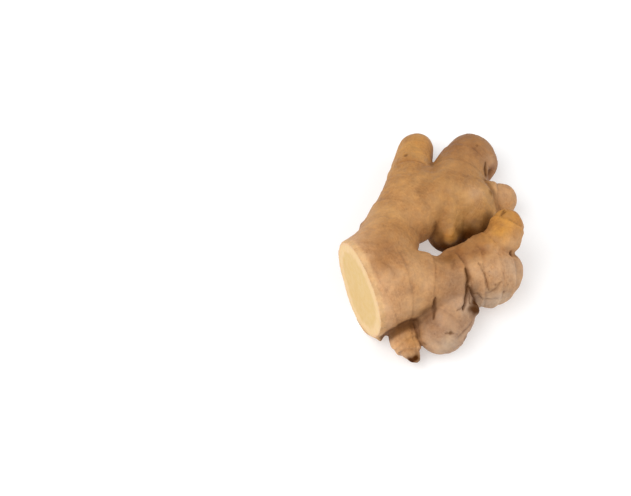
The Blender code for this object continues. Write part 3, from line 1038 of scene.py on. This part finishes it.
def mottle_group():
    """The group that makes soft patches, made at its first use."""
    if "mottle" in bpy.data.node_groups:
        return bpy.data.node_groups["mottle"]
    nodes, given, out = new_group("mottle", {"Size": 0.005, "Detail": 3.0, "Contrast": 1.0}, "Patches")
    patches = nodes.add("ShaderNodeTexNoise", {
        "Vector": scaled_place(nodes, given["Size"]), "Scale": 1.0, "Detail": given["Detail"]})
    centred = nodes.maths("SUBTRACT", patches.outputs["Fac"], 0.5)
    contrast = nodes.maths("MULTIPLY", given["Contrast"], 3.0)
    spread = nodes.maths("MULTIPLY_ADD", centred, contrast, 0.5)
    nodes.feed(out[0], nodes.add("ShaderNodeClamp", {"Value": spread}).outputs[0])
    return nodes.tree


def speck_group():
    """The group that makes small round specks, made at its first use."""
    if "specks" in bpy.data.node_groups:
        return bpy.data.node_groups["specks"]
    nodes, given, out = new_group("specks", {"Size": 0.002, "Radius": 0.15, "Share": 0.3}, "Specks")
    cells = nodes.add("ShaderNodeTexVoronoi", {
        "Vector": scaled_place(nodes, given["Size"]), "Scale": 1.0}, feature="F1")
    near = nodes.between(cells.outputs["Distance"], given["Radius"], 0.0)
    chance = nodes.add("ShaderNodeSeparateColor", {"Color": cells.outputs["Color"]}).outputs[0]
    kept = nodes.maths("LESS_THAN", chance, given["Share"])
    nodes.feed(out[0], nodes.maths("MULTIPLY", near, kept))
    return nodes.tree


def opaque(colour):
    """The colour with a full alpha, as a colour socket takes it."""
    return (*colour, 1.0)


def new_material(name):
    """A material that isn't metal, its Nodes, and its Principled shader."""
    material = bpy.data.materials.new(name)
    material.use_nodes = True
    surface = material.node_tree.nodes["Principled BSDF"]
    surface.inputs["Metallic"].default_value = 0
    return material, Nodes(material.node_tree), surface


def skin_material(skin):
    """Thin papery skin: its tones, ring fibres, specks, dark creases and scars, and painted light and
    shade.
    """
    material, nodes, surface = new_material("ginger_skin")
    broad = nodes.mottled(0.010, 3.0, 1.0)
    small = nodes.mottled(0.0028, 4.0, 1.0)
    other = nodes.mottled(0.0041, 3.0, 1.1)
    grain = nodes.mottled(0.0006, 2.0, 1.0)
    rough = nodes.mottled(0.0011, 4.0, 1.2)
    flakes = nodes.specked(0.0019, 0.45, 0.35)
    colour = nodes.mark("tone", "Color")
    colour = nodes.tinted(colour, WEATHERED, broad)
    colour = nodes.tinted(colour, GREYED, other)
    colour = nodes.tinted(colour, FRESH, small)
    colour = nodes.tinted(colour, ROUGHENED, rough, nodes.between(broad, 0.2, 0.9, 0.25, 0.6))
    colour = nodes.tinted(colour, FLAKED, flakes, nodes.between(other, 0.3, 0.9))

    around = nodes.maths("MULTIPLY_ADD", other, 0.9, nodes.mark("fibre"))
    fibres = nodes.add("ShaderNodeTexNoise", {
        "W": nodes.maths("MULTIPLY", around, 1.9), "Scale": 1.0, "Detail": 2.0},
        noise_dimensions="1D").outputs["Fac"]
    fibres = nodes.between(fibres, 0.35, 0.68)
    colour = nodes.tinted(colour, FIBROUS, fibres, nodes.between(broad, 0.3, 0.9, 0.05, 0.6))

    past = nodes.mark("ring_past")
    strength = nodes.mark("ring_strength")
    lip = nodes.product(nodes.between(past, -1.6, -0.2), nodes.between(past, 0.15, -0.1), strength)
    # Just past each lip the skin is darker: partly the ring's own dark line, partly painted shade under
    # the lip.
    ring_line_and_shade = nodes.product(nodes.between(past, -0.15, 0.3), nodes.between(past, 1.3, 0.4),
                              strength, nodes.between(other, 0.35, 0.85, 0.05, 1.0), 0.28)
    fine = nodes.mark("fine")
    # Painted highlights on the ring lips and the raised relief, and painted shade in the sunk relief.
    colour = nodes.tinted(colour, LIP_HIGHLIGHT, lip)
    colour = nodes.tinted(colour, SUNK_SHADE, nodes.between(fine, 0.0, -0.6))
    colour = nodes.tinted(colour, RAISED_HIGHLIGHT, nodes.between(fine, 0.2, 0.8))

    scar = nodes.product(nodes.mark("dark"), nodes.between(small, 0.0, 0.8, 0.65, 1.0))
    speck = nodes.product(nodes.specked(0.0026, 0.2, 0.25), nodes.between(broad, 0.3, 0.8, 0.1, 0.5))
    dark = nodes.maths("MAXIMUM", nodes.maths("MAXIMUM", ring_line_and_shade, scar), speck)
    nodes.feed(surface.inputs["Base Color"], nodes.mixed(dark, colour, opaque(skin.crease)))

    roughness = nodes.between(small, 0.0, 1.0, skin.roughness - 0.08, skin.roughness + 0.1)
    nodes.feed(surface.inputs["Roughness"], roughness)
    # Less gloss in the painted shade between the lobes, on the dark spots and on the dark marks.
    shaded = nodes.maths("MAXIMUM", nodes.mark("hollow"), dark)
    nodes.feed(surface.inputs["Specular IOR Level"], nodes.between(shaded, 0.0, 0.9, 0.35, 0.03))
    height = nodes.maths("MULTIPLY", grain, 0.35)
    for mask, rise in ((fibres, -0.25), (small, 0.5), (rough, -0.4), (dark, -1.2)):
        height = nodes.maths("MULTIPLY_ADD", mask, rise, height)
    bump = nodes.add("ShaderNodeBump", {"Height": height, "Strength": 0.6, "Distance": 0.00025})
    nodes.feed(surface.inputs["Normal"], bump.outputs["Normal"])
    return material


def flesh_material(flesh):
    """Moist cut flesh: a tan edge, a faint inner ring, and the cut ends of its fibres."""
    material, nodes, surface = new_material("ginger_flesh")
    small = nodes.mottled(0.0022, 4.0, 1.0)
    broad = nodes.mottled(0.009, 2.0, 1.0)
    ends = nodes.specked(0.0016, 0.3, 0.55)
    inward = nodes.maths("MULTIPLY_ADD", small, 0.5, nodes.mark("rim"))
    heart = nodes.between(inward, *HEART_START)
    ring = nodes.product(nodes.between(inward, *RING_OUTSIDE), nodes.between(inward, *RING_INSIDE))
    colour = nodes.mixed(heart, opaque(flesh.bark), opaque(flesh.heart))
    colour = nodes.tinted(colour, RINGED, ring)
    colour = nodes.tinted(colour, FIBRE_ENDS, ends)
    colour = nodes.tinted(colour, DAMP, broad)
    colour = nodes.mixed(nodes.between(inward, *FLESH_EDGE), colour, opaque(flesh.edge))
    nodes.feed(surface.inputs["Base Color"], colour)

    roughness = nodes.between(small, 0.0, 1.0, flesh.roughness - 0.06, flesh.roughness + 0.1)
    nodes.feed(surface.inputs["Roughness"], roughness)
    surface.inputs["Specular IOR Level"].default_value = 0.35
    surface.inputs["Subsurface Weight"].default_value = 0.12
    surface.inputs["Subsurface Radius"].default_value = (1.0, 0.5, 0.2)
    surface.inputs["Subsurface Scale"].default_value = 0.0015
    height = nodes.maths("MULTIPLY_ADD", ends, 0.5, nodes.maths("MULTIPLY", small, 0.5))
    bump = nodes.add("ShaderNodeBump", {"Height": height, "Strength": 0.5, "Distance": 0.00015})
    nodes.feed(surface.inputs["Normal"], bump.outputs["Normal"])
    return material


def floor_material(stage):
    """A pale matte floor with a barely seen mottle, lit a little from below."""
    material, nodes, surface = new_material("pale_floor")
    colour = nodes.tinted(opaque(stage.floor), FLOOR_MOTTLE, nodes.mottled(0.03, 2.0, 1.0))
    nodes.feed(surface.inputs["Base Color"], colour)
    surface.inputs["Roughness"].default_value = 0.8
    surface.inputs["Emission Color"].default_value = (1, 1, 1, 1)
    surface.inputs["Emission Strength"].default_value = stage.floor_glow
    return material


# Operators


class GINGER_OT_root_body(bpy.types.Operator):
    """Builds the root's body with its skin and its knife cut"""

    bl_idname = "ginger.root_body"
    bl_label = "Root body"

    def execute(self, context):
        body = root_body(context.scene.ginger)
        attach(body, "root")
        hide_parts("ginger_root")
        return {"FINISHED"}


def look_from(obj, toward, target):
    """Puts the object at the target plus toward, looking back at the target."""
    obj.location = target + toward
    obj.rotation_euler = toward.to_track_quat("Z", "Y").to_euler()


def photo_camera(stage):
    """A camera that sees the root where the photograph shows it."""
    up = Vector((0, math.sin(stage.elevation), math.cos(stage.elevation)))
    back = Vector((0, -math.cos(stage.elevation), math.sin(stage.elevation)))
    origin = Vector(BEADS_TO_FRAME) * MM
    right_of_origin = (PHOTO_WIDTH / 2 - ORIGIN_PIXEL_X) * MM_PER_PIXEL * MM
    above_origin = (ORIGIN_PIXEL_Y - PHOTO_HEIGHT / 2) * MM_PER_PIXEL * MM
    target = origin + Vector((right_of_origin, 0, 0)) + up * above_origin
    bpy.ops.object.camera_add()
    camera = bpy.context.object
    camera.name = "photo_camera"
    camera.data.sensor_width = SENSOR_WIDTH
    camera.data.lens = stage.lens
    camera.data.clip_start = CLIP_START
    distance = PHOTO_WIDTH * MM_PER_PIXEL * MM * stage.lens / SENSOR_WIDTH
    look_from(camera, back * distance, target)
    bpy.context.scene.camera = camera


def soft_light(name, toward, power):
    """A square area light that shines on the root from the place toward, in metres."""
    bpy.ops.object.light_add(type="AREA")
    light = bpy.context.object
    light.name = name
    light.data.size = LIGHT_SIZE
    light.data.energy = power
    look_from(light, Vector(toward), Vector(LIGHT_TARGET))


class GINGER_OT_stage(bpy.types.Operator):
    """Adds the pale floor, the soft studio lights and the camera"""

    bl_idname = "ginger.stage"
    bl_label = "Stage"

    def execute(self, context):
        stage = context.scene.ginger.stage
        bpy.ops.mesh.primitive_plane_add(size=FLOOR_SIZE)
        floor = context.object
        floor.name = "floor"
        floor.data.materials.append(floor_material(stage))
        soft_light("key_light", KEY_PLACE, stage.key_power)
        soft_light("fill_light", FILL_PLACE, stage.key_power * FILL_SHARE)
        world = bpy.data.worlds.new("studio")
        context.scene.world = world
        world.use_nodes = True
        sky = world.node_tree.nodes["Background"]
        sky.inputs["Color"].default_value = (1, 1, 1, 1)
        sky.inputs["Strength"].default_value = stage.sky
        photo_camera(stage)
        context.scene.view_settings.view_transform = "Standard"
        return {"FINISHED"}


class GINGER_PT_panel(bpy.types.Panel):
    """Lists the root's pieces and their settings"""

    bl_idname = "GINGER_PT_panel"
    bl_label = "Ginger root"
    bl_space_type = "VIEW_3D"
    bl_region_type = "UI"
    bl_category = "Ginger"

    def draw(self, context):
        settings = context.scene.ginger
        for operator, groups in ((GINGER_OT_root_body, ("form", "skin", "flesh")),
                                 (GINGER_OT_stage, ("stage",))):
            box = self.layout.box()
            box.operator(operator.bl_idname)
            for group in groups:
                values = getattr(settings, group)
                for name in type(values).__annotations__:
                    box.prop(values, name)


CLASSES = (GingerForm, GingerSkin, GingerFlesh, GingerStage, GingerSettings,
           GINGER_OT_root_body, GINGER_OT_stage, GINGER_PT_panel)


def register():
    for made in CLASSES:
        bpy.utils.register_class(made)
    bpy.types.Scene.ginger = PointerProperty(type=GingerSettings)


def unregister():
    del bpy.types.Scene.ginger
    for made in reversed(CLASSES):
        bpy.utils.unregister_class(made)


def main():
    register()
    bpy.ops.ginger.root_body()
    bpy.ops.ginger.stage()


if __name__ == "__main__":
    main()
